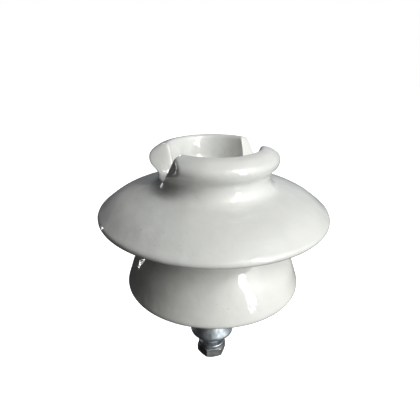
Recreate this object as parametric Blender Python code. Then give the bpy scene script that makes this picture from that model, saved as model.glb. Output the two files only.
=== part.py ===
"""Porcelain pin insulator for a medium-voltage line, with its short-shank steel spindle.

Row frame: the origin is on the insulator's axis, in the plane of the spindle collar's underside, which
is the face that seats on the cross-arm. +Z points up through the head. The conductor groove runs
along X. Dimensions below are millimetres and are turned into metres when a mesh is made.
"""
import math

import bmesh
import bpy
from mathutils import Matrix, Vector

MM = 0.001
GAP = 0.3  # clearance left between neighbouring solids

# Porcelain, heights above the collar seat
CREST_Z = 214.6
CREST_INNER_R = 43.0
CREST_OUTER_R = 53.0
HEAD_BULGE_R = 61.7
HEAD_BULGE_Z = 203.0
NECK_R = 53.2
NECK_Z = 184.0
UPPER_SHED_R = 113.2
UPPER_RIM_Z = 146.5
LOWER_SHED_R = 88.2
LOWER_RIM_Z = 74.0
PETTICOAT_BOTTOM_Z = 50.5
BOWL_FLOOR_Z = 186.0
BOWL_FLOOR_R = 33.0

# Cemented joint between the two shells
SOCKET_MOUTH_Z = 131.5
SOCKET_R = 46.0
SOCKET_TOP_Z = 172.1
CEMENT = 3.2

# Conductor groove across the head
GROOVE_HALF_WIDTH = 18.0  # at the crest, inside the head
GROOVE_STRAIGHT = 34.0  # half length of the part with parallel sides
GROOVE_MOUTH_X = 54.0
GROOVE_MOUTH_GAIN = 12.0  # more half width at GROOVE_MOUTH_X
GROOVE_FLOOR_Z = 184.6
GROOVE_BOTTOM_R = 10.0

# Pin hole and its threaded thimble (35 mm lead thread)
THREAD_R = 17.5
THIMBLE_R = 21.5
THIMBLE_BOTTOM_Z = 104.0
PIN_HOLE_R = 24.8
PIN_HOLE_END_Z = 156.0
PIN_HOLE_MOUTH_R = 27.5

# Spindle
SPINDLE_TOP_Z = 152.4
LEAD_TOP_COVER = 4.0
LEAD_BOTTOM_Z = 101.0
CORE_R = 12.5
SHANK_R = 14.0
COLLAR_R = 23.5
STUD_R = 9.525
STUD_END_Z = -36.6

# Fasteners on the stud
WASHER_TOP_Z = -13.7
WASHER_R = 15.0
WASHER_THICK = 4.0
WASHER_RISE = 0.6
NUT_TOP_Z = -18.9
NUT_BOTTOM_Z = -30.4
NUT_CORNER_R = 16.5
NUT_TURN = math.radians(-13.6)  # corner's angle from +X as the nut is left on the stud
FASTENER_BORE_R = STUD_R + GAP

SHELL_STEPS = 48
METAL_STEPS = 28
ARC_STEP = math.radians(30)


def clear_scene():
    for obj in list(bpy.data.objects):
        bpy.data.objects.remove(obj, do_unlink=True)


def material(name, colour, roughness, metallic=0.0):
    mat = bpy.data.materials.new(name)
    mat.use_nodes = True
    shader = mat.node_tree.nodes["Principled BSDF"]
    shader.inputs["Base Color"].default_value = (*colour, 1.0)
    shader.inputs["Roughness"].default_value = roughness
    shader.inputs["Metallic"].default_value = metallic
    return mat


def rounded(corners, closed=True):
    """Outline through corners given as (r, z) or (r, z, fillet radius), with each fillet as an arc."""
    points = []
    count = len(corners)
    for i, corner in enumerate(corners):
        here = Vector(corner[:2])
        radius = corner[2] if len(corner) > 2 else 0.0
        at_end = not closed and i in (0, count - 1)
        if radius <= 0.0 or at_end:
            points.append(here)
            continue
        to_last = (Vector(corners[i - 1][:2]) - here).normalized()
        to_next = (Vector(corners[(i + 1) % count][:2]) - here).normalized()
        half = to_last.angle(to_next) / 2
        setback = radius / math.tan(half)
        centre = here + (to_last + to_next).normalized() * (radius / math.sin(half))
        start = here + to_last * setback - centre
        turn = start.angle_signed(here + to_next * setback - centre)
        steps = max(1, math.ceil(abs(turn) / ARC_STEP))
        for k in range(steps + 1):
            arm = start.copy()
            arm.rotate(Matrix.Rotation(-turn * k / steps, 2))
            points.append(centre + arm)
    return [(p.x, p.y) for p in points]


def finish(name, bm, mat):
    """Make a smooth-shaded object in metres from a mesh drawn in millimetres."""
    bmesh.ops.remove_doubles(bm, verts=bm.verts, dist=1e-4)
    bmesh.ops.scale(bm, vec=(MM, MM, MM), verts=bm.verts)
    bmesh.ops.recalc_face_normals(bm, faces=bm.faces)
    mesh = bpy.data.meshes.new(name)
    bm.to_mesh(mesh)
    bm.free()
    mesh.shade_smooth()
    mesh.set_sharp_from_angle(angle=math.radians(35))
    if mat:
        mesh.materials.append(mat)
    obj = bpy.data.objects.new(name, mesh)
    bpy.context.collection.objects.link(obj)
    return obj


def turned(name, outline, mat=None, steps=METAL_STEPS, angle=2 * math.pi, rise=0.0):
    """Spin a closed (r, z) outline about Z. An angle under a full turn leaves a split, capped ring."""
    bm = bmesh.new()
    verts = [bm.verts.new((r, 0.0, z)) for r, z in outline]
    full = abs(angle - 2 * math.pi) < 1e-6
    edges = [bm.edges.new((a, b)) for a, b in zip(verts, verts[1:] + verts[:1])]
    on_axis = [e for e in edges if all(v.co.x < 1e-6 for v in e.verts)]
    section = verts + [e for e in edges if e not in on_axis]
    if not full:
        section = section + [bm.faces.new(verts)]
    spun = bmesh.ops.spin(
        bm,
        geom=section,
        axis=(0, 0, 1),
        cent=(0, 0, 0),
        dvec=(0, 0, rise / steps),
        angle=angle,
        steps=steps,
        use_merge=full,
    )
    if not full and not any(isinstance(g, bmesh.types.BMFace) for g in spun["geom_last"]):
        raise RuntimeError(f"{name}: the split ring was left open")
    for edge in on_axis:
        bm.edges.remove(edge)
    return finish(name, bm, mat)


def boolean(obj, cutter, operation):
    cutter.hide_render = True
    cutter.display_type = "WIRE"
    mod = obj.modifiers.new(operation.lower(), "BOOLEAN")
    mod.operation = operation
    mod.solver = "EXACT"
    mod.object = cutter


def groove_section(half_width, top_z):
    """Closed (y, z) outline of the conductor groove: a round bottom whose sides lean out to the top."""
    centre_z = GROOVE_FLOOR_Z + GROOVE_BOTTOM_R
    reach = Vector((half_width, CREST_Z - centre_z))
    lean = math.atan2(reach.x, reach.y) - math.asin(GROOVE_BOTTOM_R / reach.length)
    steps = 6
    start = -math.pi / 2
    end = -lean
    side = []
    for k in range(steps + 1):
        a = start + (end - start) * k / steps
        side.append((GROOVE_BOTTOM_R * math.cos(a), centre_z + GROOVE_BOTTOM_R * math.sin(a)))
    side.append((half_width + (top_z - CREST_Z) * math.tan(lean), top_z))
    return [(-y, z) for y, z in reversed(side[1:])] + side


def groove_cutter():
    """Loft of groove sections along X, flared at both mouths."""
    past_straight = [0.0, 0.3, 0.6, 0.8, 1.0, 1.2, 1.45]
    mouth = GROOVE_MOUTH_X - GROOVE_STRAIGHT
    right = [GROOVE_STRAIGHT + past * mouth for past in past_straight]
    bm = bmesh.new()
    rings = []
    for x in [-x for x in reversed(right)] + right:
        past = (abs(x) - GROOVE_STRAIGHT) / mouth
        half_width = GROOVE_HALF_WIDTH + GROOVE_MOUTH_GAIN * past ** 2
        section = groove_section(half_width, CREST_Z + 10)
        rings.append([bm.verts.new((x, y, z)) for y, z in section])
    for ring, following in zip(rings, rings[1:]):
        for k in range(len(ring)):
            j = (k + 1) % len(ring)
            bm.faces.new((ring[k], ring[j], following[j], following[k]))
    bm.faces.new(rings[0])
    bm.faces.new(rings[-1])
    return finish("groove_cutter", bm, None)


def upper_shell():
    """Head with its crest, tie-wire neck, the wide shed, and the socket for the lower shell."""
    glaze = material("upper_shell", (0.66, 0.67, 0.64), 0.12)
    outline = rounded([
        (0.0, BOWL_FLOOR_Z),
        (BOWL_FLOOR_R + 4, BOWL_FLOOR_Z, 10),
        (CREST_INNER_R, CREST_Z, 3.0),
        (CREST_OUTER_R, CREST_Z - 2.4, 9.0),
        (HEAD_BULGE_R + 1.8, HEAD_BULGE_Z + 1.0, 7.0),
        (60.0, 196.5, 6.0),
        (NECK_R, NECK_Z + 6, 6.0),
        (NECK_R, 175.6, 12.0),
        (75.0, 171.0, 60.0),
        (94.5, 164.6, 60.0),
        (UPPER_SHED_R + 0.8, UPPER_RIM_Z + 3.0, 3.5),
        (UPPER_SHED_R - 2.8, UPPER_RIM_Z - 1.6, 2.5),
        (92.0, 149.5, 30.0),
        (62.5, 151.0, 9.0),
        (60.0, SOCKET_MOUTH_Z, 3.0),
        (SOCKET_R + 1.5, SOCKET_MOUTH_Z, 1.5),
        (SOCKET_R - 1.5, SOCKET_TOP_Z, 9.0),
        (0.0, SOCKET_TOP_Z),
    ])
    shell = turned("upper_shell", outline, glaze, SHELL_STEPS)
    boolean(shell, groove_cutter(), "DIFFERENCE")
    return shell


def lower_shell():
    """Inner head cemented into the upper shell, the bell-shaped lower shed and the inner petticoat."""
    glaze = material("lower_shell", (0.68, 0.68, 0.65), 0.12)
    inner = CEMENT + 2 * GAP
    head_top = SOCKET_TOP_Z - inner
    outline = rounded([
        (0.0, head_top),
        (SOCKET_R - 1.5 - inner, head_top, 8.0),
        (SOCKET_R - inner, 134.0, 2.0),
        (47.0, 128.6, 2.0),
        (57.5, 127.6, 5.0),
        (80.4, 99.0, 45.0),
        (LOWER_SHED_R + 0.6, LOWER_RIM_Z - 1.0, 4.0),
        (LOWER_SHED_R - 2.6, LOWER_RIM_Z - 4.4, 2.5),
        (81.0, 74.0, 4.0),
        (71.0, 95.0, 30.0),
        (50.0, 113.0, 18.0),
        (38.5, 112.0, 7.0),
        (36.0, PETTICOAT_BOTTOM_Z, 3.5),
        (PIN_HOLE_MOUTH_R, PETTICOAT_BOTTOM_Z, 2.5),
        (PIN_HOLE_MOUTH_R, THIMBLE_BOTTOM_Z - 6),
        (PIN_HOLE_R, THIMBLE_BOTTOM_Z - 3),
        (PIN_HOLE_R, PIN_HOLE_END_Z, 2.0),
        (0.0, PIN_HOLE_END_Z),
    ])
    return turned("lower_shell", outline, glaze, SHELL_STEPS)


def shell_cement():
    """Portland cement cup that fills the joint between the two shells."""
    grout = material("shell_cement", (0.42, 0.41, 0.38), 0.9)
    inner = CEMENT + GAP
    outline = rounded([
        (0.0, SOCKET_TOP_Z - GAP),
        (SOCKET_R - 1.5 - GAP, SOCKET_TOP_Z - GAP, 9.0),
        (SOCKET_R + 0.6, SOCKET_MOUTH_Z + 4),
        (SOCKET_R - inner + 0.4, SOCKET_MOUTH_Z + 4),
        (SOCKET_R - 1.5 - inner, SOCKET_TOP_Z - inner, 8.2),
        (0.0, SOCKET_TOP_Z - inner),
    ])
    return turned("shell_cement", outline, grout)


def thimble():
    """Zinc bush with the female thread, cemented in the pin hole."""
    zinc = material("thimble", (0.46, 0.48, 0.5), 0.45, 1.0)
    bore = THREAD_R + GAP
    outline = rounded([
        (bore + 1.2, THIMBLE_BOTTOM_Z),
        (bore, THIMBLE_BOTTOM_Z + 1.5),
        (bore, PIN_HOLE_END_Z - 3.6),
        (THIMBLE_R, PIN_HOLE_END_Z - 3.6, 0.8),
        (THIMBLE_R, THIMBLE_BOTTOM_Z, 0.8),
    ])
    return turned("thimble", outline, zinc)


def thimble_cement():
    """Cement sleeve between the thimble and the wall of the pin hole."""
    grout = material("thimble_cement", (0.42, 0.41, 0.38), 0.9)
    outline = [
        (THIMBLE_R + GAP, THIMBLE_BOTTOM_Z),
        (THIMBLE_R + GAP, PIN_HOLE_END_Z - 3.6),
        (PIN_HOLE_R - GAP, PIN_HOLE_END_Z - 3.6),
        (PIN_HOLE_R - GAP, THIMBLE_BOTTOM_Z),
    ]
    return turned("thimble_cement", outline, grout)


def cushion_disc():
    """Cork disc that closes the end of the pin hole over the spindle's top."""
    cork = material("cushion_disc", (0.42, 0.27, 0.15), 0.9)
    outline = rounded([
        (0.0, SPINDLE_TOP_Z + GAP),
        (0.0, PIN_HOLE_END_Z - GAP),
        (THREAD_R - 0.5, PIN_HOLE_END_Z - GAP, 0.8),
        (THREAD_R - 0.5, SPINDLE_TOP_Z + GAP, 0.8),
    ])
    return turned("cushion_disc", outline, cork)


def spindle():
    """Forged steel pin: head core, shank, flared collar with its flat seat, and the stud below."""
    steel = material("spindle", (0.42, 0.45, 0.47), 0.42, 1.0)
    core_top = SPINDLE_TOP_Z - LEAD_TOP_COVER - GAP
    outline = rounded([
        (0.0, core_top),
        (CORE_R, core_top, 2.0),
        (CORE_R, LEAD_BOTTOM_Z - GAP),
        (THREAD_R - 1.5, LEAD_BOTTOM_Z - GAP, 0.8),
        (THREAD_R - 1.5, LEAD_BOTTOM_Z - 6, 2.0),
        (SHANK_R - 1.0, LEAD_BOTTOM_Z - 14, 6.0),
        (SHANK_R, 34.0, 30.0),
        (17.0, 14.5, 14.0),
        (COLLAR_R + 0.4, 3.6, 2.0),
        (COLLAR_R - 0.3, 0.0, 1.2),
        (STUD_R, 0.0, 0.6),
        (STUD_R, STUD_END_Z + 1.8),
        (STUD_R - 1.6, STUD_END_Z),
        (0.0, STUD_END_Z),
    ])
    return turned("spindle", outline, steel)


def lead_thread():
    """Lead thread cast over the spindle's head, closed across the top."""
    lead = material("lead_thread", (0.25, 0.26, 0.28), 0.6, 1.0)
    under = SPINDLE_TOP_Z - LEAD_TOP_COVER
    outline = rounded([
        (0.0, under),
        (0.0, SPINDLE_TOP_Z),
        (THREAD_R, SPINDLE_TOP_Z, 2.5),
        (THREAD_R, LEAD_BOTTOM_Z, 1.0),
        (CORE_R + GAP, LEAD_BOTTOM_Z),
        (CORE_R + GAP, under, 2.0),
    ])
    return turned("lead_thread", outline, lead)


def spring_washer():
    """Split spring lock washer: one turn of square wire whose ends stand a little apart."""
    steel = material("spring_washer", (0.55, 0.58, 0.6), 0.35, 1.0)
    top = WASHER_TOP_Z - WASHER_RISE
    outline = rounded([
        (FASTENER_BORE_R, top, 0.5),
        (WASHER_R, top, 0.8),
        (WASHER_R, top - WASHER_THICK, 0.8),
        (FASTENER_BORE_R, top - WASHER_THICK, 0.5),
    ])
    split = math.radians(8)
    ring = turned("spring_washer", outline, steel, angle=2 * math.pi - split, rise=WASHER_RISE)
    ring.data.transform(Matrix.Rotation(math.radians(200), 4, "Z"))
    return ring


def hex_nut():
    """Hexagon nut with turned-down corners and a plain bore; NUT_TURN sets where its corners point."""
    steel = material("hex_nut", (0.36, 0.38, 0.39), 0.4, 1.0)
    bm = bmesh.new()
    height = NUT_TOP_Z - NUT_BOTTOM_Z
    bmesh.ops.create_cone(
        bm,
        cap_ends=True,
        segments=6,
        radius1=NUT_CORNER_R,
        radius2=NUT_CORNER_R,
        depth=height,
    )
    bmesh.ops.translate(bm, vec=(0, 0, (NUT_TOP_Z + NUT_BOTTOM_Z) / 2), verts=bm.verts)
    corner_angle = math.atan2(bm.verts[:][0].co.y, bm.verts[:][0].co.x)
    bmesh.ops.rotate(bm, verts=bm.verts, matrix=Matrix.Rotation(NUT_TURN - corner_angle, 3, "Z"))
    nut = finish("hex_nut", bm, steel)
    across_flats_r = NUT_CORNER_R * math.cos(math.radians(30))
    drop = 1.6
    blank = turned("nut_blank", [
        (0.0, NUT_TOP_Z + 1),
        (0.0, NUT_BOTTOM_Z - 1),
        (across_flats_r - 2.2, NUT_BOTTOM_Z - 1),
        (across_flats_r - 0.6, NUT_BOTTOM_Z),
        (NUT_CORNER_R + 0.4, NUT_BOTTOM_Z + drop),
        (NUT_CORNER_R + 0.4, NUT_TOP_Z - drop),
        (across_flats_r - 0.6, NUT_TOP_Z),
        (across_flats_r - 2.2, NUT_TOP_Z + 1),
    ])
    boolean(nut, blank, "INTERSECT")
    bore = turned("nut_bore", [
        (0.0, NUT_TOP_Z + 2),
        (0.0, NUT_BOTTOM_Z - 2),
        (FASTENER_BORE_R + 3.2, NUT_BOTTOM_Z - 2),
        (FASTENER_BORE_R, NUT_BOTTOM_Z + 1.2),
        (FASTENER_BORE_R, NUT_TOP_Z - 1.2),
        (FASTENER_BORE_R + 3.2, NUT_TOP_Z + 2),
    ])
    boolean(nut, bore, "DIFFERENCE")
    return nut


def main():
    clear_scene()
    upper_shell()
    lower_shell()
    shell_cement()
    thimble()
    thimble_cement()
    cushion_disc()
    spindle()
    lead_thread()
    spring_washer()
    hex_nut()


main()
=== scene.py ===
"""Looks of the porcelain pin insulator: glazed shells, galvanised spindle, spring washer and nut.

Every visible piece is a turned or swept skin drawn here in millimetres, in the frame's own axes: Z up
the insulator, X along the conductor groove.
"""

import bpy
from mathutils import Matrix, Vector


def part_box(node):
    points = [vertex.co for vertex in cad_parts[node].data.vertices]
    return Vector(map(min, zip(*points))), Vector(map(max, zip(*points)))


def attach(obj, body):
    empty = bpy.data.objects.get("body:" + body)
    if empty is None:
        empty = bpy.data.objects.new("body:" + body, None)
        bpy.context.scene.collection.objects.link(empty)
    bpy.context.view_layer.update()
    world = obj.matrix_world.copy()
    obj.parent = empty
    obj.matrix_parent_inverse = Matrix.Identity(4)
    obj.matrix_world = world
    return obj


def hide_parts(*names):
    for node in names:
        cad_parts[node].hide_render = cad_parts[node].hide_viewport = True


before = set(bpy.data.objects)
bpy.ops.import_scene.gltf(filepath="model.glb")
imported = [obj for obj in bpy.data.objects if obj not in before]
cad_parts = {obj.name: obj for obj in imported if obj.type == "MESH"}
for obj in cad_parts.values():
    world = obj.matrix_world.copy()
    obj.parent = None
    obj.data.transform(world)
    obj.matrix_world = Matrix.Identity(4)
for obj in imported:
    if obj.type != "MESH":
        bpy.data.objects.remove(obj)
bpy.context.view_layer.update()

import math

import bpy
import numpy as np
from mathutils import Matrix, Vector

MM = 0.001


def box_mm(node):
    """Lowest and highest corner of a CAD node, in millimetres."""
    low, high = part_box(node)
    return low / MM, high / MM


UPPER_LOW, UPPER_HIGH = box_mm("upper_shell")
LOWER_LOW, LOWER_HIGH = box_mm("lower_shell")
SPINDLE_LOW, SPINDLE_HIGH = box_mm("spindle")
LEAD_LOW, LEAD_HIGH = box_mm("lead_thread")
WASHER_LOW, WASHER_HIGH = box_mm("spring_washer")
NUT_LOW, NUT_HIGH = box_mm("hex_nut")
THIMBLE_BOTTOM_Z = box_mm("thimble")[0].z
CORK_TOP_Z = box_mm("cushion_disc")[1].z

# Upper shell
CREST_Z = UPPER_HIGH.z
UPPER_SHED_R = UPPER_HIGH.x
UPPER_RIM_Z = 146.5
SOCKET_MOUTH_Z = UPPER_LOW.z
SOCKET_TOP_Z = 172.1
SOCKET_R = 46.0
BOWL_FLOOR_Z = 186.0
NECK_R = 53.2

# Conductor groove through the head
GROOVE_HALF_WIDTH = 18.0
GROOVE_STRAIGHT = 34.0
GROOVE_MOUTH_X = 54.0
GROOVE_MOUTH_GAIN = 12.0
GROOVE_FLOOR_Z = 184.6
GROOVE_BOTTOM_R = 10.0

# Flats trimmed on two opposite corners of the groove's mouths
FLAT_X = 50.0
FLAT_Z = 204.0
FLAT_LEAN = 0.25
FLAT_BOTTOM_Z = 189.0

# Lower shell
LOWER_SHED_R = 88.2
LOWER_RIM_Z = 74.0
PETTICOAT_BOTTOM_Z = LOWER_LOW.z
LOWER_TOP_Z = LOWER_HIGH.z
PIN_HOLE_MOUTH_R = 27.5
PIN_HOLE_R = 24.8
PIN_HOLE_END_Z = CORK_TOP_Z + 0.3

# Threads
STUD_R = 9.525
STUD_PITCH = 2.54
STUD_THREAD_DEPTH = 1.35
STUD_CHAMFER = 1.8
STUD_END_Z = SPINDLE_LOW.z
LEAD_PITCH = 6.35
LEAD_THREAD_DEPTH = 2.2
THREAD_R = LEAD_HIGH.x
COLLAR_R = SPINDLE_HIGH.x

# Nut and spring washer; the nut is left turned as the photograph shows it
NUT_CORNER_R = 16.5
NUT_TURN = math.radians(-13.6)
NUT_THREAD_DEPTH = 1.1
WASHER_RISE = 0.6
WASHER_SPLIT_START = math.radians(200)
WASHER_SPLIT = math.radians(8)

# Points round the axis
SHELL_STEPS = 384

# Camera, as angles and distances round the insulator's axis
CAMERA_AZIMUTH = -25.0
CAMERA_ELEVATION = 23.15
CAMERA_ROLL = 0.67
CAMERA_DISTANCE = 389.7
CAMERA_AIM_SIDE = -3.6
CAMERA_AIM_Z = 146.6
CAMERA_LENS = 33.43


# ---------------------------------------------------------------- outlines

def rounded(corners, arc_step=math.radians(6)):
    """Open outline through corners given as (r, z) or (r, z, fillet radius), with fillets as arcs."""
    points = [Vector(corners[0][:2])]
    for before, corner, after in zip(corners, corners[1:], corners[2:]):
        here = Vector(corner[:2])
        if len(corner) < 3:
            points.append(here)
            continue
        radius = corner[2]
        to_last = (Vector(before[:2]) - here).normalized()
        to_next = (Vector(after[:2]) - here).normalized()
        half = to_last.angle(to_next) / 2
        centre = here + (to_last + to_next).normalized() * (radius / math.sin(half))
        start = here + to_last * (radius / math.tan(half)) - centre
        end = here + to_next * (radius / math.tan(half)) - centre
        turn = start.angle_signed(end)
        steps = max(1, math.ceil(abs(turn) / arc_step))
        for k in range(steps + 1):
            arm = start.copy()
            arm.rotate(Matrix.Rotation(-turn * k / steps, 2))
            points.append(centre + arm)
    points.append(Vector(corners[-1][:2]))
    return np.array([(p.x, p.y) for p in points])


def spaced(points, spacing=None, count=None):
    """The outline again, with points at equal steps along it."""
    lengths = np.hypot(*np.diff(points, axis=0).T)
    along = np.concatenate([[0.0], np.cumsum(lengths)])
    if count is None:
        count = max(2, int(round(along[-1] / spacing)) + 1)
    at = np.linspace(0.0, along[-1], count)
    return np.stack([np.interp(at, along, points[:, k]) for k in (0, 1)], axis=1)


def eased(points, reach, spacing=0.25):
    """The outline with its curvature smoothed over about reach millimetres; its ends stay put."""
    fine = spaced(points, spacing)
    half = int(3 * reach / spacing)
    offsets = np.arange(-half, half + 1)
    weights = np.exp(-0.5 * (offsets * spacing / reach) ** 2)
    weights /= weights.sum()
    head = 2 * fine[0] - fine[1:half + 1][::-1]
    tail = 2 * fine[-1] - fine[-half - 1:-1][::-1]
    padded = np.vstack([head, fine, tail])
    smooth = np.stack([np.convolve(padded[:, k], weights, "valid") for k in (0, 1)], axis=1)
    smooth[0] = fine[0]
    smooth[-1] = fine[-1]
    return smooth


# ---------------------------------------------------------------- skins

def placed(name, data):
    """A new object of this data, in the scene."""
    obj = bpy.data.objects.new(name, data)
    bpy.context.scene.collection.objects.link(obj)
    return obj


def skin(name, rings, closed_section=False, closed_round=True):
    """Quad skin over rings[step, point, xyz] in millimetres. Points on the Z axis become one pole."""
    steps, count, _ = rings.shape
    verts = rings.reshape(-1, 3)
    last_step = steps if closed_round else steps - 1
    last_point = count if closed_section else count - 1
    a, b = np.meshgrid(np.arange(last_step), np.arange(last_point), indexing="ij")
    a_next = (a + 1) % steps
    b_next = (b + 1) % count
    quads = np.stack([
        a * count + b,
        a_next * count + b,
        a_next * count + b_next,
        a * count + b_next,
    ], axis=-1).reshape(-1, 4)
    if not closed_section and closed_round:
        for column in (0, count - 1):
            if np.abs(rings[:, column, :2]).max() < 1e-6:
                quads = np.where(quads % count == column, column, quads)
    faces = []
    for quad in quads.tolist():
        corners = list(dict.fromkeys(quad))
        if len(corners) > 2:
            faces.append(corners)
    if not closed_round:
        ends = [list(range(count))[::-1], list(range((steps - 1) * count, steps * count))]
        faces.extend(ends)
    used = np.unique(np.concatenate([np.array(f) for f in faces]))
    renumber = np.full(len(verts), -1)
    renumber[used] = np.arange(len(used))
    mesh = bpy.data.meshes.new(name)
    mesh.from_pydata((verts[used] * MM).tolist(), [], [renumber[f].tolist() for f in faces])
    mesh.validate()
    mesh.shade_smooth()
    return placed(name, mesh)


def full_turn(steps):
    """Angles at equal steps round the Z axis."""
    return np.arange(steps) * 2 * math.pi / steps


def ring_points(angles, radius, z):
    """Points[step, point, xyz] at each angle, from their radii and heights."""
    radius = np.broadcast_to(radius, (len(angles), np.shape(radius)[-1]))
    return np.stack([
        radius * np.cos(angles)[:, None],
        radius * np.sin(angles)[:, None],
        np.broadcast_to(z, radius.shape),
    ], axis=-1)


def turned(section, steps):
    """Rings of an (r, z) section turned about Z."""
    return ring_points(full_turn(steps), section[:, 0], section[:, 1])


def sharpen(obj, degrees):
    obj.data.set_sharp_from_angle(angle=math.radians(degrees))


def settle(obj, body, node, material):
    """Gives a piece its material and its place in the frame."""
    obj.data.materials.append(material)
    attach(obj, body)
    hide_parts(node)


# ---------------------------------------------------------------- upper shell

def groove_height(x, y):
    """Height of the conductor groove's surface over (x, y): a round bottom, then sides that lean out."""
    past = np.clip((np.abs(x) - GROOVE_STRAIGHT) / (GROOVE_MOUTH_X - GROOVE_STRAIGHT), 0.0, 1.3)
    half_width = GROOVE_HALF_WIDTH + GROOVE_MOUTH_GAIN * past ** 2
    floor = GROOVE_FLOOR_Z
    centre = floor + GROOVE_BOTTOM_R
    rise = CREST_Z - centre
    lean = np.arctan2(half_width, rise) - np.arcsin(GROOVE_BOTTOM_R / np.hypot(half_width, rise))
    side_y = GROOVE_BOTTOM_R * np.cos(lean)
    side_z = centre - GROOVE_BOTTOM_R * np.sin(lean)
    across = np.abs(y)
    bottom = centre - np.sqrt(np.clip(GROOVE_BOTTOM_R ** 2 - across ** 2, 0.0, None))
    return np.where(across < side_y, bottom, side_z + (across - side_y) / np.tan(lean))


def upper_outline():
    return rounded([
        (0.0, BOWL_FLOOR_Z),
        (37.0, BOWL_FLOOR_Z, 10),
        (43.0, CREST_Z, 3.0),
        (53.0, CREST_Z - 2.4, 9.0),
        (63.5, 204.0, 7.0),
        (60.0, 196.5, 6.0),
        (NECK_R, 190.0, 6.0),
        (NECK_R, 175.6, 12.0),
        (75.0, 171.0, 60.0),
        (94.5, 164.6, 60.0),
        (UPPER_SHED_R + 0.8, UPPER_RIM_Z + 3.0, 3.5),
        (UPPER_SHED_R - 2.8, UPPER_RIM_Z - 1.6, 2.5),
        (92.0, 149.5, 30.0),
        (62.5, 151.0, 9.0),
        (60.0, SOCKET_MOUTH_Z, 3.0),
        (SOCKET_R + 1.5, SOCKET_MOUTH_Z, 1.5),
        (SOCKET_R - 1.5, SOCKET_TOP_Z, 9.0),
        (0.0, SOCKET_TOP_Z),
    ])


def grooved_head(head, angle, count):
    """The head's section at one azimuth: two corners trimmed flat, then all cut down to the groove."""
    cos, sin = math.cos(angle), math.sin(angle)
    flat_x = FLAT_X - FLAT_LEAN * (head[:, 1] - FLAT_Z)
    trimmed = (head[:, 1] > FLAT_BOTTOM_Z) & (cos * sin > 0)
    flat_r = np.where(trimmed, flat_x / max(abs(cos), 1e-6), math.inf)
    head = np.stack([np.minimum(head[:, 0], flat_r), head[:, 1]], axis=1)
    r, z = head.T
    over = z - groove_height(r * cos, r * sin)
    crest = int(np.argmax(z))
    path = head.copy()
    inner = slice(0, crest + 1)
    path[inner, 1] = np.minimum(z[inner], (z - over)[inner])
    if over[crest] > 0:
        outside = np.nonzero(over[crest:] <= 0)[0]
        after = crest + (outside[0] if len(outside) else len(z) - 1 - crest)
        spacing = 0.2
        across = np.linspace(r[crest], r[after], max(2, int(abs(r[after] - r[crest]) / spacing)))
        lowered = groove_height(across * cos, across * sin)
        bridge = np.stack([across, np.minimum(lowered, CREST_Z)], axis=1)
        path = np.vstack([path[:crest], bridge, head[after:]])
    return spaced(path, count=count)


def soften(rings, weights, passes):
    """Rounds off creases by moving each point towards its neighbours, by its weight."""
    for _ in range(passes):
        around = (np.roll(rings, 1, axis=0) + np.roll(rings, -1, axis=0)) / 2
        along = rings.copy()
        along[:, 1:-1] = (rings[:, :-2] + rings[:, 2:]) / 2
        rings = rings + weights[None, :, None] * 0.5 * ((around + along) / 2 - rings)
    return rings


def upper_shell():
    head_points = 150
    neck_z = 177.0
    end_share = 0.08
    outline = eased(upper_outline(), reach=0.9)
    crest = int(np.argmax(outline[:, 1]))
    neck = crest + int(np.nonzero(outline[crest:, 1] < neck_z)[0][0])
    angles = full_turn(SHELL_STEPS)
    sections = np.stack([grooved_head(outline[:neck + 1], a, head_points) for a in angles])
    head = ring_points(angles, sections[..., 0], sections[..., 1])
    place = np.linspace(0.0, 1.0, head_points)
    weights = np.clip(place / end_share, 0, 1) * np.clip((1 - place) / end_share, 0, 1)
    head = soften(head, weights, passes=14)
    rest = turned(spaced(outline[neck:], spacing=1.7), SHELL_STEPS)
    return skin("upper_shell_glazed", np.concatenate([head, rest[:, 1:]], axis=1))


# ---------------------------------------------------------------- lower shell

def lower_outline():
    joint = 3.8
    return rounded([
        (0.0, LOWER_TOP_Z),
        (SOCKET_R - 1.5 - joint, LOWER_TOP_Z, 8.0),
        (SOCKET_R - joint, 134.0, 2.0),
        (47.0, 128.6, 2.0),
        (57.5, 127.6, 5.0),
        (80.4, 99.0, 45.0),
        (LOWER_SHED_R + 0.6, LOWER_RIM_Z - 1.0, 4.0),
        (LOWER_SHED_R - 2.6, LOWER_RIM_Z - 4.4, 2.5),
        (81.0, 74.0, 4.0),
        (71.0, 95.0, 30.0),
        (50.0, 113.0, 18.0),
        (38.5, 112.0, 7.0),
        (36.0, PETTICOAT_BOTTOM_Z, 3.5),
        (PIN_HOLE_MOUTH_R, PETTICOAT_BOTTOM_Z, 2.5),
        (PIN_HOLE_MOUTH_R, THIMBLE_BOTTOM_Z - 6),
        (PIN_HOLE_R, THIMBLE_BOTTOM_Z - 3),
        (PIN_HOLE_R, PIN_HOLE_END_Z, 2.0),
        (0.0, PIN_HOLE_END_Z),
    ])


def lower_shell():
    section = spaced(eased(lower_outline(), reach=0.7), spacing=1.5)
    return skin("lower_shell_glazed", turned(section, SHELL_STEPS))


# ---------------------------------------------------------------- hardware

def thread_ripple(angle, z, pitch, flat=0.18):
    """Thread form from 0 in the root to 1 on the crest, for a right-hand thread."""
    phase = (z / pitch - angle / (2 * math.pi)) % 1.0
    ramp = 1.0 - np.abs(2 * phase - 1.0)
    return np.clip((ramp - flat) / (1 - 2 * flat), 0.0, 1.0)


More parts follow.
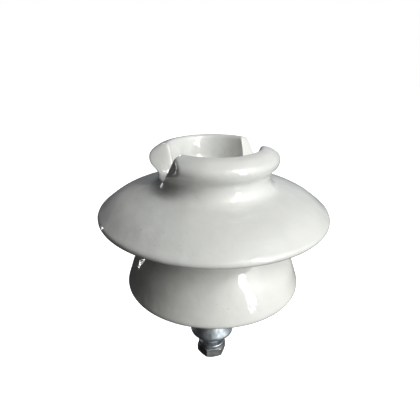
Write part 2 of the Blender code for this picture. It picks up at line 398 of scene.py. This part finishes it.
def spindle():
    """Forged pin with its collar; the stud below carries a rolled thread."""
    steps = 144
    lead_bottom = LEAD_LOW.z
    body = rounded([
        (0.0, SPINDLE_HIGH.z),
        (12.5, SPINDLE_HIGH.z, 2.0),
        (12.5, lead_bottom - 0.3),
        (THREAD_R - 1.5, lead_bottom - 0.3, 0.8),
        (THREAD_R - 1.5, lead_bottom - 6, 2.0),
        (13.0, lead_bottom - 14, 6.0),
        (14.0, 34.0, 30.0),
        (17.0, 14.5, 14.0),
        (COLLAR_R + 0.4, 3.6, 2.0),
        (COLLAR_R - 0.3, 0.0, 1.2),
        (STUD_R + 1.0, 0.0, 0.6),
        (STUD_R, -1.0),
    ])
    body = spaced(eased(body, reach=0.35), spacing=0.9)
    thread_top = -1.2
    runout_length = 3.0
    z = np.arange(thread_top, STUD_END_Z + 0.15, -0.2)
    z = np.append(z, STUD_END_Z)
    angles = full_turn(steps)
    form = thread_ripple(angles[:, None], z[None, :], STUD_PITCH)
    runout = np.clip((thread_top - z) / runout_length, 0.0, 1.0)
    radius = STUD_R - 0.05 - STUD_THREAD_DEPTH * (1 - form) * runout[None, :]
    radius = np.minimum(radius, STUD_R - STUD_CHAMFER + (z - STUD_END_Z)[None, :])
    end_r = np.linspace(STUD_R - STUD_CHAMFER, 0.0, 8)[1:]
    stud = ring_points(angles, radius, z)
    end = turned(np.stack([end_r, np.full(len(end_r), STUD_END_Z)], axis=1), steps)
    obj = skin("spindle_galvanised", np.concatenate([turned(body, steps), stud, end], axis=1))
    sharpen(obj, 42)
    return obj


def spring_washer():
    """One turn of keystone wire, its cut ends standing apart."""
    inner = STUD_R + 0.3
    outer = WASHER_HIGH.x
    top = WASHER_HIGH.z - WASHER_RISE
    bottom = WASHER_LOW.z
    section = rounded([
        ((inner + outer) / 2, top),
        (outer, top, 0.9),
        (outer, bottom, 0.9),
        (inner, bottom + 0.15, 0.5),
        (inner, top, 0.5),
        ((inner + outer) / 2, top),
    ], math.radians(15))[:-1]
    share = np.linspace(0.0, 1.0, 150)
    angles = WASHER_SPLIT_START + share * (2 * math.pi - WASHER_SPLIT)
    rings = ring_points(angles, section[:, 0], section[:, 1] + share[:, None] * WASHER_RISE)
    obj = skin("spring_washer_galvanised", rings, closed_section=True, closed_round=False)
    sharpen(obj, 40)
    return obj


def soft_least(values, sharpness):
    """Smooth minimum along the first axis."""
    least = values.min(axis=0)
    return least - np.log(np.exp(-sharpness * (values - least)).sum(axis=0)) / sharpness


def hex_nut():
    """Hexagon nut with turned-down corners on both faces and a threaded bore."""
    steps = 360
    apothem = NUT_CORNER_R * math.cos(math.radians(30))
    top, bottom = NUT_HIGH.z, NUT_LOW.z
    angles = full_turn(steps)
    flats = [apothem / np.maximum(np.cos(angles - NUT_TURN - math.radians(30 + 60 * k)), 0.2)
             for k in range(6)]
    hexagon = soft_least(np.stack(flats), 6.0) + 0.1
    z = np.linspace(top, bottom, 46)
    slope = 1.75
    cone = apothem - 0.6 + slope * np.minimum(top - z, z - bottom)
    outer = soft_least(np.stack([
        np.broadcast_to(hexagon[:, None], (steps, len(z))),
        np.broadcast_to(cone[None, :], (steps, len(z))),
    ]), 7.0)
    bore_z = np.linspace(bottom, top, 80)
    form = thread_ripple(angles[:, None], bore_z[None, :], STUD_PITCH)
    bore = STUD_R + 0.15 - NUT_THREAD_DEPTH * form + 0.6
    mouth = STUD_R + 1.4 - 1.2 * np.minimum(bore_z - bottom, top - bore_z)
    bore = np.maximum(bore, mouth[None, :])
    face_share = np.linspace(0.0, 1.0, 7)[1:-1]
    down = outer[:, -1:] + (bore[:, :1] - outer[:, -1:]) * face_share[None, :]
    up = bore[:, -1:] + (outer[:, :1] - bore[:, -1:]) * face_share[None, :]
    rings = np.concatenate([
        ring_points(angles, outer, z),
        ring_points(angles, down, bottom),
        ring_points(angles, bore, bore_z),
        ring_points(angles, up, top),
    ], axis=1)
    obj = skin("hex_nut_galvanised", rings, closed_section=True)
    sharpen(obj, 40)
    return obj


def lead_thread():
    """Cast lead thread round the spindle's head."""
    steps = 120
    bottom, top = LEAD_LOW.z, LEAD_HIGH.z
    thread_top = top - 1.5
    fade_length = 3
    angles = full_turn(steps)
    z = np.linspace(thread_top, bottom + 0.5, 110)
    form = thread_ripple(angles[:, None], z[None, :], LEAD_PITCH, flat=0.1)
    fade = np.clip((thread_top - z) / fade_length, 0, 1) * np.clip((z - bottom) / fade_length, 0, 1)
    round_form = 0.5 - 0.5 * np.cos(math.pi * form)
    radius = THREAD_R - 0.05 - LEAD_THREAD_DEPTH * (1 - round_form) - 0.8 * (1 - fade)[None, :]
    side = ring_points(angles, radius, z)
    cap_r = np.linspace(0.0, THREAD_R - 3.5, 10)
    cap = turned(np.stack([cap_r, np.full(len(cap_r), top)], axis=1), steps)
    core = 12.9
    inside = np.array([[THREAD_R - 4.0, bottom], [core, bottom], [core, top - 4], [0.0, top - 4]])
    under = turned(inside, steps)
    obj = skin("lead_thread_cast", np.concatenate([cap, side, under], axis=1))
    sharpen(obj, 50)
    return obj


# ---------------------------------------------------------------- materials

class Nodes:
    """Short calls for building one material's node tree."""

    def __init__(self, name):
        self.material = bpy.data.materials.new(name)
        self.material.use_nodes = True
        self.tree = self.material.node_tree
        self.shader = self.tree.nodes["Principled BSDF"]
        self.place = self.add("ShaderNodeTexCoord").outputs["Object"]

    def add(self, kind, **settings):
        node = self.tree.nodes.new(kind)
        for key, value in settings.items():
            setattr(node, key, value)
        return node

    def link(self, source, target):
        self.tree.links.new(source, target)

    def noise(self, scale, detail=3.0, roughness=0.55):
        node = self.add("ShaderNodeTexNoise")
        self.link(self.place, node.inputs["Vector"])
        node.inputs["Scale"].default_value = scale
        node.inputs["Detail"].default_value = detail
        node.inputs["Roughness"].default_value = roughness
        return node.outputs["Fac"]

    def cells(self, scale, output="Distance"):
        node = self.add("ShaderNodeTexVoronoi")
        self.link(self.place, node.inputs["Vector"])
        node.inputs["Scale"].default_value = scale
        return node.outputs[output]

    def cell_grey(self, scale):
        """One flat grey for each cell."""
        node = self.add("ShaderNodeRGBToBW")
        self.link(self.cells(scale, "Color"), node.inputs[0])
        return node.outputs[0]

    def ramp(self, source, low, high, to_low=0.0, to_high=1.0):
        node = self.add("ShaderNodeMapRange", interpolation_type="SMOOTHSTEP")
        self.link(source, node.inputs["Value"])
        node.inputs["From Min"].default_value = low
        node.inputs["From Max"].default_value = high
        node.inputs["To Min"].default_value = to_low
        node.inputs["To Max"].default_value = to_high
        return node.outputs["Result"]

    def mix(self, factor, first, second):
        node = self.add("ShaderNodeMix", data_type="RGBA")
        if isinstance(factor, (int, float)):
            node.inputs[0].default_value = factor
        else:
            self.link(factor, node.inputs[0])
        for socket, value in ((node.inputs[6], first), (node.inputs[7], second)):
            if isinstance(value, tuple):
                socket.default_value = (*value, 1.0)
            else:
                self.link(value, socket)
        return node.outputs[2]

    def math(self, operation, first, second=0.0):
        node = self.add("ShaderNodeMath", operation=operation)
        for socket, value in zip(node.inputs, (first, second)):
            if isinstance(value, (int, float)):
                socket.default_value = value
            else:
                self.link(value, socket)
        return node.outputs[0]

    def height(self):
        """Object height, in millimetres."""
        split = self.add("ShaderNodeSeparateXYZ")
        self.link(self.place, split.inputs[0])
        return self.math("MULTIPLY", split.outputs["Z"], 1 / MM)

    def bump(self, source, distance, under=None):
        """Bump of this distance in metres, laid over another bump if one is given."""
        node = self.add("ShaderNodeBump")
        node.inputs["Strength"].default_value = 1.0
        node.inputs["Distance"].default_value = distance
        self.link(source, node.inputs["Height"])
        if under:
            self.link(under, node.inputs["Normal"])
        return node.outputs["Normal"]

    def finish(self, colour, roughness, normal, metallic=0.0):
        self.link(colour, self.shader.inputs["Base Color"])
        self.link(roughness, self.shader.inputs["Roughness"])
        self.link(normal, self.shader.inputs["Normal"])
        self.shader.inputs["Metallic"].default_value = metallic
        return self.material


def glaze(name, pale, deep):
    """Feldspar glaze: faint cloudiness, a few iron specks, slow waves and a fine orange peel."""
    n = Nodes(name)
    cloud = n.noise(22.0, 4.0, 0.6)
    colour = n.mix(n.ramp(cloud, 0.35, 0.65), pale, deep)
    iron = (0.2, 0.17, 0.13)
    speck = n.ramp(n.noise(520.0, 1.0, 0.4), 0.775, 0.81)
    colour = n.mix(n.math("MULTIPLY", speck, 0.55), colour, iron)
    roughness = n.ramp(n.noise(90.0, 3.0), 0.3, 0.75, 0.045, 0.11)
    slow = n.bump(n.noise(34.0, 2.0, 0.45), 0.0011)
    waves = n.bump(n.noise(95.0, 2.0, 0.5), 0.00035, under=slow)
    peel = n.bump(n.noise(330.0, 2.0, 0.5), 0.00006, under=waves)
    n.shader.inputs["IOR"].default_value = 1.52
    n.shader.inputs["Coat Weight"].default_value = 0.25
    n.shader.inputs["Coat Roughness"].default_value = 0.02
    return n, colour, roughness, peel


def upper_glaze():
    n, colour, roughness, normal = glaze("glaze_upper", (0.63, 0.635, 0.605), (0.59, 0.6, 0.575))
    return n.finish(colour, roughness, normal)


def lower_glaze():
    """The same glaze, wiped off the petticoat's foot, where the bare body shows."""
    n, colour, roughness, normal = glaze("glaze_lower", (0.65, 0.65, 0.615), (0.61, 0.61, 0.58))
    bare_body = (0.62, 0.55, 0.45)
    foot = PETTICOAT_BOTTOM_Z + 1.6
    ragged = n.math("ADD", n.height(), n.math("MULTIPLY", n.noise(160.0, 3.0), 1.6))
    bare = n.ramp(ragged, foot + 0.6, foot + 1.2, 1.0, 0.0)
    colour = n.mix(bare, colour, bare_body)
    rough = n.math("MAXIMUM", roughness, n.math("MULTIPLY", bare, 0.85))
    return n.finish(colour, rough, normal)


def galvanised(name, pale, deep, rough):
    """Hot-dip zinc: spangle, dull bloom, and a slightly lumpy coat."""
    n = Nodes(name)
    zinc_bloom = (0.62, 0.66, 0.69)
    spangle = n.cell_grey(260.0)
    bloom = n.ramp(n.noise(130.0, 4.0, 0.65), 0.4, 0.68)
    colour = n.mix(n.math("MULTIPLY", spangle, 0.55), deep, pale)
    colour = n.mix(n.math("MULTIPLY", bloom, 0.35), colour, zinc_bloom)
    roughness = n.math("ADD", n.ramp(n.noise(210.0, 3.0), 0.3, 0.7, *rough),
                       n.math("MULTIPLY", bloom, 0.12))
    lumps = n.bump(n.noise(240.0, 3.0, 0.5), 0.00025)
    grain = n.bump(n.noise(1500.0, 2.0, 0.6), 0.00003, under=lumps)
    return n.finish(colour, roughness, grain, metallic=0.92)


def cement():
    n = Nodes("cement")
    colour = n.mix(n.ramp(n.noise(170.0, 5.0, 0.7), 0.3, 0.7), (0.33, 0.32, 0.3), (0.5, 0.49, 0.46))
    grit = n.bump(n.noise(900.0, 4.0, 0.7), 0.0004)
    return n.finish(colour, n.ramp(n.noise(80.0), 0.2, 0.8, 0.8, 0.98), grit)


def zinc():
    n = Nodes("zinc_thimble")
    colour = n.mix(n.ramp(n.noise(120.0, 4.0), 0.3, 0.7), (0.4, 0.42, 0.43), (0.56, 0.58, 0.6))
    cast = n.bump(n.noise(700.0, 3.0), 0.0001)
    return n.finish(colour, n.ramp(n.noise(200.0), 0.2, 0.8, 0.4, 0.62), cast, metallic=0.9)


def lead():
    n = Nodes("cast_lead")
    colour = n.mix(n.ramp(n.noise(150.0, 4.0), 0.3, 0.7), (0.2, 0.21, 0.23), (0.36, 0.37, 0.4))
    cast = n.bump(n.noise(500.0, 3.0), 0.0002)
    return n.finish(colour, n.ramp(n.noise(260.0), 0.2, 0.8, 0.5, 0.75), cast, metallic=0.85)


def cork():
    n = Nodes("cork")
    colour = n.mix(n.cell_grey(700.0), (0.24, 0.14, 0.07), (0.55, 0.38, 0.22))
    grain = n.bump(n.cells(700.0), 0.0004)
    return n.finish(colour, n.ramp(n.noise(300.0), 0.2, 0.8, 0.8, 0.95), grain)


# ---------------------------------------------------------------- stage, light and camera

def toward(azimuth, elevation):
    """Unit vector from the insulator; azimuth 0 is the camera's side and positive is to its right."""
    a = math.radians(CAMERA_AZIMUTH + azimuth)
    e = math.radians(elevation)
    return Vector((math.sin(a) * math.cos(e), -math.cos(a) * math.cos(e), math.sin(e)))


def softbox(name, azimuth, elevation, width, height, brightness):
    """Rectangular light aimed at the sheds. Brightness is what its face shows in a reflection."""
    data = bpy.data.lights.new(name, "AREA")
    data.shape = "RECTANGLE"
    data.size = width
    data.size_y = height
    data.energy = brightness * math.pi * width * height
    obj = placed(name, data)
    obj.location = SOFTBOX_AIM + toward(azimuth, elevation) * SOFTBOX_DISTANCE
    obj.rotation_euler = (obj.location - SOFTBOX_AIM).to_track_quat("Z", "Y").to_euler()


def softbox_room(lobes):
    """World light as a sum of wide soft lobes; the camera itself sees a plain white backdrop."""
    world = bpy.data.worlds.new("studio")
    bpy.context.scene.world = world
    world.use_nodes = True
    tree = world.node_tree
    tree.nodes.clear()
    link = tree.links.new
    coord = tree.nodes.new("ShaderNodeTexCoord")
    total = None
    for azimuth, elevation, focus, colour in lobes:
        dot = tree.nodes.new("ShaderNodeVectorMath")
        dot.operation = "DOT_PRODUCT"
        dot.inputs[1].default_value = toward(azimuth, elevation)
        link(coord.outputs["Generated"], dot.inputs[0])
        fall = tree.nodes.new("ShaderNodeMath")
        fall.operation = "MULTIPLY_ADD"
        fall.inputs[1].default_value = focus
        fall.inputs[2].default_value = -focus
        link(dot.outputs["Value"], fall.inputs[0])
        lobe = tree.nodes.new("ShaderNodeMath")
        lobe.operation = "EXPONENT"
        link(fall.outputs[0], lobe.inputs[0])
        tint = tree.nodes.new("ShaderNodeVectorMath")
        tint.operation = "MULTIPLY_ADD"
        tint.inputs[1].default_value = colour
        link(lobe.outputs[0], tint.inputs[0])
        if total:
            link(total, tint.inputs[2])
        total = tint.outputs["Vector"]
    room = tree.nodes.new("ShaderNodeBackground")
    link(total, room.inputs["Color"])
    backdrop = tree.nodes.new("ShaderNodeBackground")
    backdrop.inputs["Color"].default_value = (1, 1, 1, 1)
    path = tree.nodes.new("ShaderNodeLightPath")
    mix = tree.nodes.new("ShaderNodeMixShader")
    link(path.outputs["Is Camera Ray"], mix.inputs[0])
    link(room.outputs[0], mix.inputs[1])
    link(backdrop.outputs[0], mix.inputs[2])
    out = tree.nodes.new("ShaderNodeOutputWorld")
    link(mix.outputs[0], out.inputs["Surface"])


# Soft light round the insulator: azimuth from the camera, elevation, focus, colour
SOFT_LIGHTS = [
    (56, 36, 12.0, (4.5, 4.5, 4.4)),
    (60, 8, 9.0, (0.9, 0.93, 1.0)),
    (165, 22, 6.0, (0.5, 0.52, 0.55)),
    (216, 60, 6.0, (0.12, 0.13, 0.15)),
    (25, -35, 5.0, (0.28, 0.28, 0.28)),
]

# Softboxes, in metres: name, azimuth from the camera, elevation, width, height, brightness
SOFTBOXES = [
    ("window", 47, 25, 0.24, 1.6, 12.0),
    ("low_strip", -120, 2, 0.045, 0.5, 12.0),
    ("back_strip", -165, 24, 0.06, 0.4, 9.0),
]
SOFTBOX_DISTANCE = 1.4
SOFTBOX_AIM = Vector((0, 0, 0.12))


def studio():
    """Soft light from the right, a narrow window in it, and two thin strips behind on the left."""
    softbox_room(SOFT_LIGHTS)
    for row in SOFTBOXES:
        softbox(*row)
    bpy.context.scene.view_settings.view_transform = "Standard"


def floor():
    """Plain pale floor, well below the stud, since a cross-arm holds the insulator up by its collar.

    It shows to the camera only, so it lights nothing and is not seen in the glaze.
    """
    mesh = bpy.data.meshes.new("floor")
    half = 6.0
    drop = 0.35
    z = STUD_END_Z * MM - drop
    corners = [(-half, -half, z), (half, -half, z), (half, half, z), (-half, half, z)]
    mesh.from_pydata(corners, [], [(0, 1, 2, 3)])
    obj = placed("floor", mesh)
    mat = bpy.data.materials.new("floor")
    mat.use_nodes = True
    shader = mat.node_tree.nodes["Principled BSDF"]
    shader.inputs["Base Color"].default_value = (0.9, 0.9, 0.9, 1)
    shader.inputs["Roughness"].default_value = 0.9
    shader.inputs["Emission Color"].default_value = (1, 1, 1, 1)
    shader.inputs["Emission Strength"].default_value = 0.85
    mesh.materials.append(mat)
    obj.visible_diffuse = False
    obj.visible_glossy = False


def camera():
    data = bpy.data.cameras.new("camera")
    data.lens = CAMERA_LENS
    data.sensor_width = 36.0
    obj = placed("camera", data)
    back = toward(0, CAMERA_ELEVATION)
    right = toward(90, 0)
    up = back.cross(right)
    roll = Matrix.Rotation(math.radians(CAMERA_ROLL), 3, "Z")
    turn = Matrix((right, up, back)).transposed() @ roll
    aim = right * CAMERA_AIM_SIDE + Vector((0, 0, CAMERA_AIM_Z))
    place = (aim + back * CAMERA_DISTANCE) * MM
    obj.matrix_world = Matrix.Translation(place) @ turn.to_4x4()
    bpy.context.scene.camera = obj


def main():
    camera()
    studio()
    floor()
    steel = galvanised("galvanised_spindle", (0.5, 0.54, 0.56), (0.3, 0.34, 0.36), (0.42, 0.6))
    nut_steel = galvanised("galvanised_nut", (0.44, 0.45, 0.44), (0.27, 0.28, 0.27), (0.36, 0.58))
    washer_steel = galvanised("galvanised_washer", (0.66, 0.69, 0.71), (0.46, 0.49, 0.52), (0.22, 0.4))
    settle(upper_shell(), "insulator", "upper_shell", upper_glaze())
    settle(lower_shell(), "insulator", "lower_shell", lower_glaze())
    settle(spindle(), "spindle", "spindle", steel)
    settle(lead_thread(), "spindle", "lead_thread", lead())
    settle(spring_washer(), "washer", "spring_washer", washer_steel)
    settle(hex_nut(), "nut", "hex_nut", nut_steel)
    grout = cement()
    carried = {"shell_cement": grout, "thimble_cement": grout, "thimble": zinc(), "cushion_disc": cork()}
    for node, material in carried.items():
        for material_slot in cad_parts[node].material_slots:
            material_slot.material = material


main()
